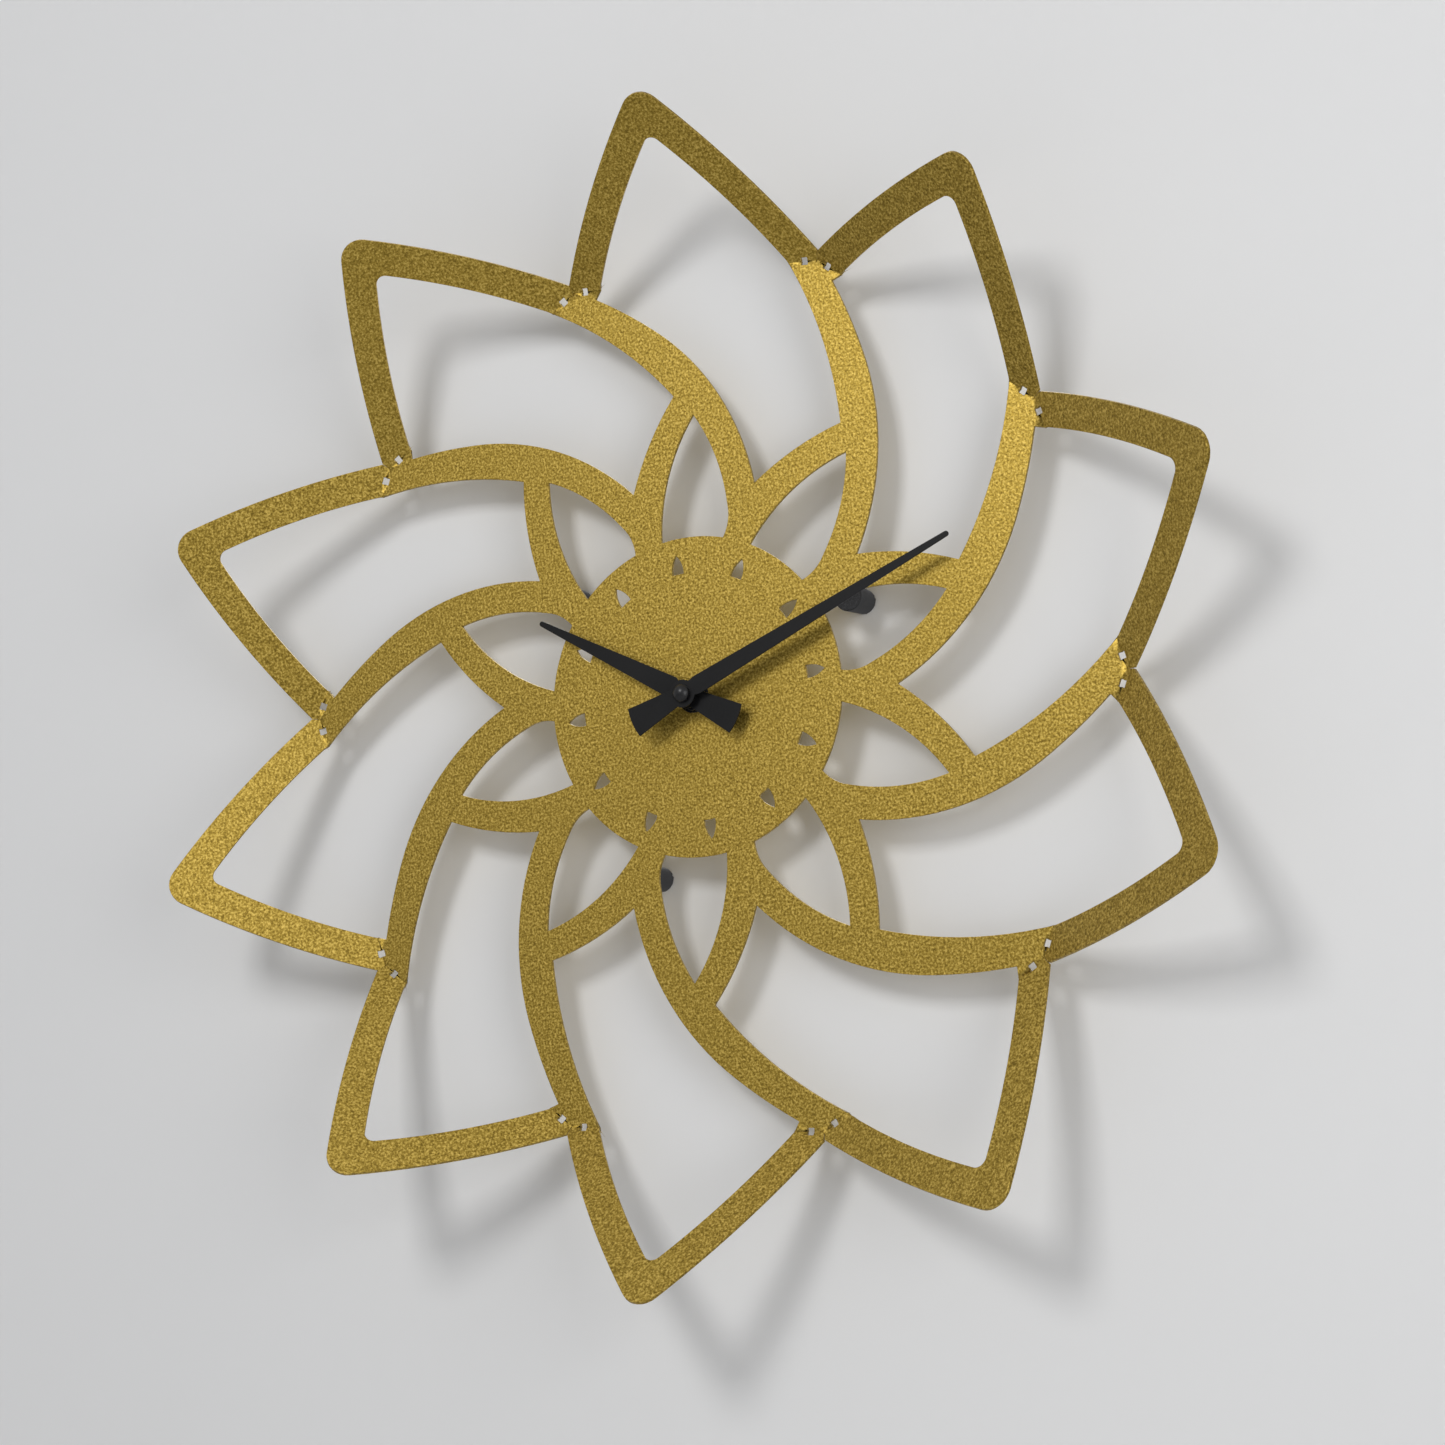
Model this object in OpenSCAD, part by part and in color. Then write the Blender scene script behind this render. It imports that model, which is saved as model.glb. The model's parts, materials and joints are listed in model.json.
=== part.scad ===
// Sunburst wall clock: a folded sheet-metal rosette on a quartz movement.
// Frame: wall plane y = 0, front of the clock faces -Y, +Z up, hand axis through the origin.
// Every piece is drawn flat, x to the right, y up, z away from the wall, and on_wall() stands it up.

/* [Face sheet] */
// Number of petals round the rosette
petal_n = 10; // [8:1:12]
// Turn of the first petal, clockwise from twelve o'clock
petal_turn = 7.9; // [0:0.1:35]
// Thickness of the sheet
sheet_t = 1.5; // [1:0.1:2.5]
// Radius of the sharp corner that a petal's edges run to, before the sheet is folded
petal_r = 255.5; // [225:0.5:310]
// Width of the sheet between a petal's outer corner and its window's corner
petal_band = 21.3; // [12:0.1:28]
// Radius of the arcs along a petal's outer edges
petal_edge_r = 405; // [330:5:600]
// Radius that rounds a petal's outer corner
petal_round = 9; // [3:0.5:12]
// Radius that rounds the window's outer corner
window_round = 4; // [2:0.5:6]
// Radius of the arcs along a window's two outer edges
window_edge_r = 330; // [280:5:600]
// Distance of the fold lines from the centre
fold_r = 172; // [150:0.5:200]
// How far past the fold two neighbouring petals part, along the line between them
notch_rise = 12.2; // [10.5:0.1:20]
// Side of the square relief holes on the fold lines
relief_w = 3; // [2:0.1:4]
// Distance of a relief hole from its petal's middle line
relief_x = 50.3; // [48:0.1:51.5]
// Fold angles of the ten petals, clockwise from the first
folds = [38, 40, 34.5, 35, 30, 38, 41, 32, 27, 33];

/* [Face openings] */
// Radius of the plain disc in the middle
disc_r = 64.8; // [58:0.1:75]
// Radius of the inner leaf openings' outer corners
leaf_tip_r = 115; // [95:0.5:118]
// Radius of the arcs along a leaf opening's sides
leaf_edge_r = 83.5; // [70:0.5:120]
// Radius of the inner corner of a window, where arm and inner petal part
crotch_r = 88.5; // [84:0.5:95]
// Radius of the outer corner of a window's foot
heel_r = 123.6; // [118:0.1:128]
// Length of an hour mark along its radius
mark_l = 8; // [5:0.1:11]
// Width of an hour mark at its base
mark_w = 5.2; // [3:0.1:7]
// Radius of an hour mark's base
mark_r = 50.2; // [40:0.1:53]

/* [Hands] */
// Hour hand, from the hand axis to its tip
hour_l = 75.5; // [50:0.5:110]
// Minute hand, from the hand axis to its tip
minute_l = 127; // [90:0.5:160]
// Tail of either hand, from the hand axis to its end
tail_l = 25; // [18:0.5:35]
// Width of a tail at its end
tail_w = 12.4; // [8:0.1:16]
// Greatest width of the hour hand's blade
hour_w = 8.8; // [6:0.1:12]
// Greatest width of the minute hand's blade
minute_w = 7.6; // [5:0.1:10]
// Width of both blades at the tip
tip_w = 2.2; // [1.5:0.1:3]
// Thickness of the hands' sheet
hand_t = 0.6; // [0.4:0.1:1]
// Radius of the round hub in both hands
hub_r = 5.6; // [4.6:0.1:6.5]
// Time shown, hours
show_hour = 10; // [0:1:11]
// Time shown, minutes
show_minute = 12; // [0:1:59]
// Radius of the cap nut
cap_r = 3.5; // [3:0.1:5]

/* [Movement case] */
// Width and height of the movement
case_w = 56; // [55:0.5:75]
// Thickness of the case's side walls
side_wall = 1.2; // [1:0.1:2]
// Thickness of the case's front wall
front_wall = 1; // [1:0.1:2]
// Thickness of the back cover
cover_t = 1.2; // [1:0.1:2]
// Radius of the case's outer corners
corner_r = 4; // [2:0.5:5]
// Radius of the threaded neck that carries the face
neck_r = 4; // [3.8:0.1:4.5]
// Length of neck that shows in front of the mounting nut
neck_spare = 1.2; // [0.6:0.1:3]
// Radius of the setting knob
knob_r = 5.5; // [4:0.1:5.7]

/* [Power] */
// Diameter of the battery
battery_d = 13.9; // [13.5:0.1:17]
// Length of the battery with its terminal
battery_l = 50.5; // [46:0.1:51.2]
// Play round the battery in its bay
battery_play = 0.4; // [0.2:0.1:1]

/* [Hanging and mounting] */
// Thickness of the steel hanger
hanger_t = 0.6; // [0.5:0.1:1]
// Width of the hanger
hanger_w = 20; // [16:0.5:26]
// Radius of the hole that hangs on the wall screw
hang_hole_r = 4.25; // [3:0.05:5]
// Height of the hanging hole above the hand axis
hang_z = 38; // [37:0.5:48]
// Thickness of the rubber washer behind the face
rubber_t = 0.9; // [0.5:0.1:2]
// Radius of the rubber washer
rubber_r = 9; // [7:0.5:12]
// Height of the mounting nut
nut_h = 2.3; // [1.5:0.1:4]
// Width of the mounting nut across its flats
nut_af = 11; // [10:0.1:13]
// Thickness of the flat washer under the nut
washer_t = 0.5; // [0.3:0.1:1]
// Radius of the flat washer
washer_r = 6.8; // [6:0.1:9]
// Radius of the wall bumpers
bumper_r = 5.75; // [4:0.05:8]
// Distance of the wall bumpers from the hand axis
bumper_at = 76; // [72:0.5:82]

/* [Hidden] */
$fn = 96;

// Colours
gold = [0.66, 0.53, 0.22];
black = [0.04, 0.04, 0.045];
steel = [0.62, 0.63, 0.65];
brass = [0.72, 0.58, 0.3];
copper = [0.65, 0.33, 0.16];
abs_black = [0.09, 0.09, 0.1];
rubber = [0.06, 0.06, 0.06];
white_pom = [0.88, 0.88, 0.85];
board_green = [0.08, 0.3, 0.16];
battery_film = [0.2, 0.22, 0.25];

// Levels above the wall
case_h = battery_d + front_wall + 0.1;
case_inner = case_h - front_wall;
hanger_front = case_h + hanger_t;
sheet_back = hanger_front + rubber_t;
sheet_front = sheet_back + sheet_t;
nut_back = sheet_front + washer_t;
neck_top = nut_back + nut_h + neck_spare;
hour_hand_back = neck_top + 1.8;
minute_hand_back = hour_hand_back + 3.6;
cap_back = minute_hand_back + hand_t;
cap_skirt = 1.6;
cap_dome = 1.9;

// Clearances: a running fit, a gap between pieces that pass each other, a push-on fit
run = 0.06;
pass = 0.3;

// Face geometry
sector = 360 / petal_n;
half = sector / 2;
window_tip = [0, petal_r - petal_band];
petal_tip = [0, petal_r];
notch = polar(fold_r + notch_rise, half);
foot_r = fold_r + 2.2;
foot_turn = 15.1;
elbow_inset = 19;
elbow_turn = -6.75;
heel_turn = 31.9;
arm_edge_r = 213;
arm_curl_r = 110;
heel_edge_r = 171;
band_edge_r = 119;
crook_r = 18.5;
mark_edge_r = mark_l * 1.4;
fold_corner_x = fold_r * tan(half);
petal_gap = 0.1;
fold_lap = 0.3;
fold_steps = 4;
fold_over = 8;
fold_hair = 0.02;
fold_ease = 0.1;

// Pipes and arbors
hour_pipe_r = 2.5;
minute_pipe_r = 1.6;
minute_thread_r = 1.3;
seconds_r = 0.5;
pivot_r = 0.4;
arbor_r = 0.8;
collet_r = 3.4;
collet_h = 0.9;
cap_thread_l = 1.8;
thread_pitch = 0.75;
thread_d = 0.35;
thread_start = 0.6;
bearing_d = 0.6;
arbor_end = 0.4;

// Levels inside the case, back to front
seconds_low = cover_t + 0.8;
third_low = seconds_low + 1.6;
centre_low = third_low + 1.8;
core_back = third_low + 0.8;
core_front = core_back + 1;
stator_front = core_front + 1;
coil_mid = (core_back + core_front) / 2;
magnet_low = core_back + 0.6;
plate_back = core_back + 4;
plate_t = 1;
plate_front = plate_back + plate_t;
board_front = plate_back - 1;
board_t = 1;
gear_low = plate_front + 0.7;
hour_low = gear_low + 1.7;
wheel_t = 0.8;
magnet_t = 2.2;
pivot_low = 0.6;
pivot_hole_low = 0.4;
boss_r = 1.4;
boss_h = 0.4;
motor_post_r = 1.6;

// Slip clutch between the centre wheel and the minute pipe
flange_r = 2.2;
flange_low = centre_low - 0.45;
clutch_gap = 0.03;
spring_r = 2.8;
spring_t = 0.3;

// Catches of the back cover
catch_t = 0.8;
catch_w = 6;
catch_h = 3;
catch_y = 8;
catch_play = 0.05;

// Gear train: centre distances, directions counter-clockwise from the x axis, and turns
motion_a = 10;
third_a = 8.5;
fifth_a = 9;
rotor_a = 7;
motion_dir = 10;
knob_dir = 30;
third_dir = 20;
fifth_dir = 160;
rotor_dir = 150;
motion_at = step([0, 0, 0], motion_a, motion_dir);
knob_at = step(motion_at, motion_a, knob_dir);
third_at = step([0, 0, 0], third_a, third_dir);
fifth_at = step([0, 0, 0], fifth_a, fifth_dir);
rotor_at = step(fifth_at, rotor_a, rotor_dir);
minute_pinion = 12;
motion_teeth = 36;
motion_pinion = 10;
hour_teeth = 40;
knob_teeth = 12;
centre_teeth = 64;
third_pinion = 8;
third_teeth = 60;
seconds_pinion = 8;
seconds_teeth = 60;
fifth_pinion = 12;
fifth_teeth = 60;
rotor_pinion = 10;
motion_phase = mesh_phase(0, minute_pinion, motion_teeth, motion_dir);
hour_phase = mesh_phase(0, motion_pinion, hour_teeth, motion_dir + 180);
knob_phase = mesh_phase(motion_phase, motion_teeth, knob_teeth, knob_dir);
third_phase = mesh_phase(0, seconds_pinion, third_teeth, third_dir);
centre_phase = mesh_phase(0, third_pinion, centre_teeth, third_dir + 180);
fifth_phase = mesh_phase(0, seconds_teeth, fifth_pinion, fifth_dir);
rotor_phase = mesh_phase(0, fifth_teeth, rotor_pinion, rotor_dir);
motion_mod = pair_module(motion_a, motion_teeth, minute_pinion);
hour_mod = pair_module(motion_a, hour_teeth, motion_pinion);
third_mod = pair_module(third_a, third_teeth, seconds_pinion);
centre_mod = pair_module(third_a, centre_teeth, third_pinion);
fifth_mod = pair_module(fifth_a, seconds_teeth, fifth_pinion);
rotor_mod = pair_module(rotor_a, fifth_teeth, rotor_pinion);
pivots = [third_at, fifth_at, rotor_at];

// Teeth: height above and depth below the pitch circle in modules, half widths in pitches
addendum = 0.8;
dedendum = 1.1;
hour_tip_r = hour_mod * (hour_teeth / 2 + addendum);
tip_part = 0.11;
root_part = 0.28;
bore_inset = 0.1;
bond = 0.2;
knob_shaft_r = 1.2;
knob_front = cover_t + 1;
magnet_r = 2.4;
knob_back = 0.2;
knob_flutes = 24;
flute_r = 0.45;
flute_out = 0.15;
slot_l = 6;
slot_w = 1;
slot_d = 0.5;

// Battery bay, its battery and contacts
bay_low = -case_w / 2 + side_wall;
bay_top = bay_low + battery_d + 2 * battery_play;
battery_bay_l = case_w - 2 * side_wall;
battery_y = (bay_low + bay_top) / 2;
battery_mid = battery_d / 2 + 0.05;
contact_t = 0.4;
contact_w = 9;
contact_low = cover_t + 0.8;
contact_top = battery_mid + 5;
terminal_h = 1.2;
terminal_r = 2.75;
battery_right = battery_bay_l / 2 - contact_t;

// Motor and circuit board places
motor_left = -25.2;
motor_right = -6;
core_y = 18.3;
core_w = 3.5;
flange_t = 0.8;
flange_w = 6.8;
barrel_r = 2.3;
winding_r = 3.2;
bobbin_left = -20;
bobbin_right = -11;
screw_r = 0.6;
motor_posts = [[motor_left + 1.9, core_y, 0], [motor_right - 1.9, core_y, 0]];
board_x = 2;
board_y = 13.2;
board_w = 18;
board_h = 11.5;
chip_r = 2.6;
board_posts = [[board_x + 2, board_y + 9.5, 0], [board_x + board_w - 2, board_y + 2, 0]];
pillar_r = 1.5;
pillar_x = 24.6;
pillar_low = bay_top + side_wall + pillar_r + 2.4;
pillars = [
    [-pillar_x, 24.6, 0], [pillar_x, 24.6, 0], [-pillar_x, pillar_low, 0], [pillar_x, pillar_low, 0]
];

// Hanger and bumpers
hanger_back = 0.6;
pad_t = 0.4;
bumper_turns = [69.9, 205.9, 313.9];

// Hands' turns for the time shown: the hour hand was pushed on a little behind its place
hour_lag = 1.9;
minute_turn = show_minute * 6;
hour_turn = show_hour * 30 + show_minute / 2 - hour_lag;

// Point reached from p over a distance in a direction
function step(p, distance, dir) = p + distance * [cos(dir), sin(dir), 0];

// Polar point: radius and clockwise turn from straight up
function polar(r, turn) = [r * sin(turn), r * cos(turn)];

// Centre of the arc from p to q: it bulges to the left for a radius over 0, to the right under 0
function arc_centre(p, q, r) =
    let (d = q - p, reach = norm(d))
    (p + q) / 2 - sign(r) * [-d.y, d.x] / reach * sqrt(r * r - reach * reach / 4);

// Points along that arc, from p up to but without q
function arc(p, q, r, n) =
    let (d = q - p, c = arc_centre(p, q, r), swing = asin(norm(d) / 2 / abs(r)))
    let (middle = atan2(sign(r) * d.x, -sign(r) * d.y))
    [
        for (i = [0 : n - 1])
            let (turn = middle + sign(r) * swing * (1 - 2 * i / n))
            c + abs(r) * [cos(turn), sin(turn)]
    ];

// Outline under two mirrored arcs that meet on the middle line, from the left base over the
// rounded corner to the right base, which it leaves out
function lancet(tip, base, r, round_r) =
    let (c = arc_centre(tip, base, r))
    let (round_y = c.y + sqrt((r - round_r) * (r - round_r) - c.x * c.x))
    let (touch = c + ([0, round_y] - c) * r / (r - round_r))
    let (other_touch = [-touch.x, touch.y], other_base = [-base.x, base.y])
    concat(
        arc(other_base, other_touch, r, 12),
        arc(other_touch, touch, round_r, 8),
        arc(touch, base, r, 12)
    );

// How far right of the middle line a window's outer edge lies at height y
function window_edge_x(y) =
    let (c = arc_centre(window_tip, polar(foot_r, foot_turn), window_edge_r))
    c.x + sqrt(window_edge_r * window_edge_r - (y - c.y) * (y - c.y));

// Stands a piece drawn flat against the wall plane
module on_wall() {
    rotate([90, 0, 0]) children();
}

// One large window: up into the petal, down between two arms
module window() {
    foot = polar(foot_r, foot_turn);
    other_foot = [-foot.x, foot.y];
    heel = polar(heel_r, heel_turn);
    crotch = polar(crotch_r, half);
    elbow = polar(fold_r - elbow_inset, elbow_turn);
    polygon(concat(
        lancet(window_tip, foot, window_edge_r, window_round),
        arc(foot, heel, heel_edge_r, 10),
        arc(heel, crotch, -band_edge_r, 8),
        arc(crotch, elbow, -arm_curl_r, 16),
        arc(elbow, other_foot, -arm_edge_r, 5)
    ));
}

// Leaf opening between the disc and the window: its right side ends in a small crook
module leaf() {
    tip = [0, leaf_tip_r];
    shoulder = polar(disc_r + 13.2, 11.4);
    right_base = polar(disc_r, 11.9);
    left_base = polar(disc_r, -13);
    polygon(concat(
        arc(left_base, tip, leaf_edge_r, 12),
        arc(tip, shoulder, leaf_edge_r, 10),
        arc(shoulder, right_base, crook_r, 6),
        arc(right_base, left_base, -disc_r, 9)
    ));
}

// Half-leaf hour mark, pointing outwards
module hour_mark() {
    tip = [0, mark_r + mark_l];
    right_base = [mark_w / 2, mark_r];
    left_base = [-mark_w / 2, mark_r];
    polygon(concat(
        arc(left_base, tip, mark_edge_r, 5),
        arc(tip, right_base, mark_edge_r, 5),
        arc(right_base, left_base, -mark_r, 4)
    ));
}

// The two square relief holes at the ends of a fold line
module reliefs(w) {
    for (side = [-1, 1]) {
        translate([side * relief_x, fold_r]) square(w, center = true);
    }
}

// The part of the sheet that stays parallel to the wall, with the folds along its edge
module sheet_middle() {
    translate([0, 0, -sheet_t]) linear_extrude(sheet_t) difference() {
        intersection_for (k = [0 : petal_n - 1]) {
            rotate(-k * sector) translate([-petal_r, -petal_r]) square([2 * petal_r, petal_r + fold_r]);
        }
        for (k = [0 : petal_n - 1]) {
            rotate(-k * sector) {
                window();
                leaf();
                reliefs(relief_w);
            }
        }
        for (k = [0 : 11]) {
            rotate(-k * 30 + petal_turn) hour_mark();
        }
        circle(r = neck_r + 0.25);
    }
    for (k = [0 : petal_n - 1]) rotate(-k * sector) fold_backs(folds[k % len(folds)]);
}

// One petal past its fold line, folded forwards by the given angle
module petal(angle) {
    side_slope = tan(half) * cos(angle);
    top = petal_r - fold_r;
    corner_x = fold_corner_x - petal_gap / 2;
    translate([0, fold_r, 0]) rotate([angle, 0, 0]) translate([0, -fold_r, -sheet_t])
        linear_extrude(sheet_t) difference() {
            intersection() {
                polygon(concat(
                    lancet(petal_tip, notch, petal_edge_r, petal_round),
                    [notch, [notch.x, 0], [-notch.x, 0]]
                ));
                translate([0, fold_r]) polygon([
                    [-corner_x, 0],
                    [-corner_x - side_slope * top, top],
                    [corner_x + side_slope * top, top],
                    [corner_x, 0]
                ]);
            }
            translate([0, fold_ease]) window();
            reliefs(relief_w + 2 * fold_hair);
        }
}

// Filled back of one petal's fold, in the four necks of sheet that cross the fold line; each
// stands a hair past the neck's edges
module fold_backs(angle) {
    window_x = window_edge_x(fold_r) - fold_ease;
    inner = relief_x - relief_w / 2 + fold_hair;
    outer = relief_x + relief_w / 2 - fold_hair;
    corner_x = fold_corner_x - petal_gap / 2 + fold_hair;
    spans = [
        [-corner_x, -outer], [-inner, -window_x], [window_x, inner], [outer, corner_x]
    ];
    back_r = sheet_t - fold_hair;
    // Across the fold: y along the sheet, z out of it, the crease at the origin
    section = concat(
        [[0, 0], [-fold_lap, -fold_lap]],
        [
            for (i = [0 : fold_steps])
                let (a = -fold_over + (angle + 2 * fold_over) * i / fold_steps)
                back_r * [sin(a), -cos(a)]
        ],
        [fold_lap * [cos(angle) + sin(angle), sin(angle) - cos(angle)]]
    );
    for (span = spans) {
        translate([span[0], fold_r, 0]) rotate([90, 0, 90])
            linear_extrude(span[1] - span[0]) polygon(section);
    }
}

// Laser-cut face sheet with its petals folded towards the room, drawn down from its front
module face_plate() {
    color(gold) on_wall() translate([0, 0, sheet_front]) rotate(-petal_turn) {
        union() sheet_middle();
        for (k = [0 : petal_n - 1]) rotate(-k * sector) petal(folds[k % len(folds)]);
    }
}

// Outline of a hand pointing up: flared tail and tapering blade with a rounded tip
module hand_outline(blade_l, blade_w) {
    neck_w = hub_r * 1.15;
    shoulder_y = hub_r + 1.6;
    tip_y = blade_l - tip_w / 2;
    tail_turn = asin(tail_w / 2 / tail_l);
    polygon(concat(
        [
            [-neck_w / 2, 0], [-neck_w / 2, hub_r - 0.6], [-blade_w / 2, shoulder_y],
            [-tip_w / 2, tip_y]
        ],
        [for (i = [1 : 7]) [-tip_w / 2 * cos(i * 22.5), tip_y + tip_w / 2 * sin(i * 22.5)]],
        [[tip_w / 2, tip_y], [blade_w / 2, shoulder_y], [neck_w / 2, hub_r - 0.6], [neck_w / 2, 0]],
        [for (i = [-4 : 4]) -polar(tail_l, i * tail_turn / 4)]
    ));
}

// Flat hand with a hole for its pipe, at its level and turned to the time shown
module hand(blade_l, blade_w, bore_r, level, turn) {
    translate([0, 0, level]) rotate(-turn) difference() {
        union() {
            linear_extrude(hand_t) hand_outline(blade_l, blade_w);
            cylinder(r = hub_r, h = hand_t);
        }
        translate([0, 0, -1]) cylinder(r = bore_r, h = hand_t + 2);
    }
}

// Ring between two levels
module ring(outer_r, inner_r, low, high) {
    translate([0, 0, low]) linear_extrude(high - low) difference() {
        circle(r = outer_r);
        circle(r = inner_r);
    }
}

// Round post between two levels
module post(r, low, high) {
    translate([0, 0, low]) cylinder(r = r, h = high - low);
}

// Gear wheel between two levels, one tooth centred on the given turn from the x axis
module gear(teeth, mod, phase, low, high, bore_r) {
    root_r = mod * (teeth / 2 - dedendum);
    tip_r = mod * (teeth / 2 + addendum);
    pitch = 360 / teeth;
    corners = [
        [root_r, -root_part], [tip_r, -tip_part], [tip_r, tip_part], [root_r, root_part]
    ];
    translate([0, 0, low]) linear_extrude(high - low) difference() {
        polygon([
            for (i = [0 : teeth - 1], corner = corners)
                let (turn = phase + (i + corner[1]) * pitch)
                corner[0] * [cos(turn), sin(turn)]
        ]);
        circle(r = bore_r);
    }
}

// Turn of a gear that meshes with another: the other's turn, both tooth counts, and the
// direction from the other's axis to this one's
function mesh_phase(other, other_teeth, teeth, toward) =
    toward + 180 + 180 / teeth - (other - toward) * other_teeth / teeth;

// Module of a pair from its centre distance
function pair_module(distance, teeth, other_teeth) = 2 * distance / (teeth + other_teeth);

// Hour hand, pushed onto the hour pipe
module hour_hand() {
    color(black) on_wall() hand(hour_l, hour_w, hour_pipe_r, hour_hand_back, hour_turn);
}

// Ring riveted behind the hour hand, which grips the hour pipe
module hour_collet() {
    color(steel) on_wall() ring(collet_r, hour_pipe_r, hour_hand_back - collet_h, hour_hand_back);
}

// Minute hand, held on the minute pipe by the cap nut
module minute_hand() {
    color(black) on_wall() hand(minute_l, minute_w, minute_pipe_r, minute_hand_back, minute_turn);
}

// Ring riveted behind the minute hand
module minute_collet() {
    color(steel) on_wall()
        ring(collet_r - 0.6, minute_pipe_r, minute_hand_back - collet_h, minute_hand_back);
}

// Domed nut that closes the end of the minute pipe
module cap_nut() {
    dome_r = (cap_r * cap_r + cap_dome * cap_dome) / 2 / cap_dome;
    color(black) on_wall() translate([0, 0, cap_back]) difference() {
        union() {
            cylinder(r = cap_r, h = cap_skirt);
            intersection() {
                translate([0, 0, cap_skirt + cap_dome - dome_r]) sphere(r = dome_r);
                translate([0, 0, cap_skirt / 2]) cylinder(r = cap_r, h = cap_skirt / 2 + cap_dome);
            }
        }
        translate([0, 0, -1]) cylinder(r = minute_thread_r, h = 1 + cap_thread_l + 0.2);
    }
}

// Hexagonal nut that clamps the face to the movement
module mounting_nut() {
    color(black) on_wall() translate([0, 0, nut_back]) linear_extrude(nut_h) difference() {
        rotate(30) circle(r = nut_af / 2 / cos(30), $fn = 6);
        circle(r = neck_r);
    }
}

// Flat washer under the nut
module dial_washer() {
    color(black) on_wall() ring(washer_r, neck_r, sheet_front, nut_back);
}

// Soft washer between the hanger and the face
module rubber_washer() {
    color(rubber) on_wall() ring(rubber_r, neck_r, hanger_front, sheet_back);
}

// Steel strip clamped in front of the case and bent over its top to the hanging hole
module hanger() {
    top = case_w / 2;
    ear_r = hang_hole_r + 4.5;
    color(steel) on_wall() difference() {
        union() {
            translate([0, 0, case_h]) linear_extrude(hanger_t) {
                translate([-hanger_w / 2, 0]) square([hanger_w, top + hanger_t]);
                circle(d = hanger_w);
            }
            translate([-hanger_w / 2, top, hanger_back])
                cube([hanger_w, hanger_t, case_h + hanger_t - hanger_back]);
            translate([0, 0, hanger_back]) linear_extrude(hanger_t) {
                polygon([
                    [-hanger_w / 2, top], [-ear_r, hang_z], [ear_r, hang_z], [hanger_w / 2, top]
                ]);
                intersection() {
                    translate([0, hang_z]) circle(r = ear_r);
                    translate([-hanger_w, top]) square([2 * hanger_w, hang_z]);
                }
            }
        }
        translate([0, 0, case_h - 1]) cylinder(r = neck_r, h = hanger_t + 2);
        translate([0, hang_z, hanger_back - 1]) cylinder(r = hang_hole_r, h = hanger_t + 2);
    }
}

// Rubber posts that keep the face parallel to the wall
module wall_bumpers() {
    color(rubber) on_wall() for (turn = bumper_turns) {
        translate(bumper_at * [sin(turn), cos(turn)])
            cylinder(r1 = bumper_r - 0.75, r2 = bumper_r, h = sheet_back - pad_t);
    }
}

// Adhesive discs that hold the bumpers to the back of the face
module bumper_pads() {
    color(white_pom) on_wall() for (turn = bumper_turns) {
        translate(bumper_at * [sin(turn), cos(turn)])
            post(bumper_r - 0.4, sheet_back - pad_t, sheet_back);
    }
}

// Square with rounded corners, centred
module rounded_square(w, r) {
    square([w, w - 2 * r], center = true);
    square([w - 2 * r, w], center = true);
    for (x = [-1, 1], y = [-1, 1]) translate([x, y] * (w / 2 - r)) circle(r = r);
}

// Case: front wall, side walls, battery bay, pillars for the middle plate and threaded neck
module case_front() {
    inner_w = case_w - 2 * side_wall;
    color(abs_black) on_wall() difference() {
        union() {
            difference() {
                translate([0, 0, cover_t]) linear_extrude(case_h - cover_t)
                    rounded_square(case_w, corner_r);
                translate([0, 0, cover_t - 1]) linear_extrude(case_inner - cover_t + 1)
                    rounded_square(inner_w, corner_r - side_wall);
            }
            translate([-inner_w / 2 - bond, bay_top, cover_t])
                cube([inner_w + 2 * bond, side_wall, case_inner - cover_t + bond]);
            for (p = pillars) translate(p) post(pillar_r, plate_front, case_inner + bond);
            post(neck_r, case_h - bond, neck_top);
        }
        translate([0, 0, case_inner - 1]) cylinder(r = hour_pipe_r + run, h = neck_top);
        post(hour_tip_r + pass, hour_low - pass, hour_low + 1 + pass);
        for (p = [motion_at, knob_at]) {
            translate(p) post(arbor_r + run, case_inner - 1, case_inner + bearing_d);
        }
        for (i = [0 : floor((neck_top - nut_back - thread_start) / thread_pitch)]) {
            translate([0, 0, neck_top - thread_start - i * thread_pitch]) rotate_extrude()
                polygon([
                    [neck_r + 0.1, -thread_d], [neck_r - thread_d, 0], [neck_r + 0.1, thread_d]
                ]);
        }
    }
}

// Plate between the going train and the motion work, with the bearing holes of both
module middle_plate() {
    w = case_w - 2 * side_wall - 2 * pass;
    low = bay_top + side_wall + pass;
    color(white_pom) on_wall() difference() {
        union() {
            translate([0, 0, plate_back]) linear_extrude(plate_t) intersection() {
                rounded_square(w, corner_r - side_wall);
                translate([-w / 2, low]) square([w, case_w / 2 - side_wall - pass - low]);
            }
            for (p = motor_posts) translate(p) post(motor_post_r, stator_front, plate_back + bond);
            for (p = board_posts) translate(p) post(boss_r, board_front, plate_back + bond);
        }
        translate([0, 0, plate_back - 1]) cylinder(r = minute_pipe_r + run, h = plate_t + 2);
        for (p = pivots) translate(p) post(pivot_r + run, plate_back - 1, plate_front + 1);
        translate(motion_at) post(arbor_r + run, plate_back - 1, plate_front + 1);
        translate(knob_at) post(knob_shaft_r + run, plate_back - 1, plate_front + 1);
        for (p = motor_posts) translate(p) post(screw_r, stator_front - 1, plate_front + 1);
    }
}

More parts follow.
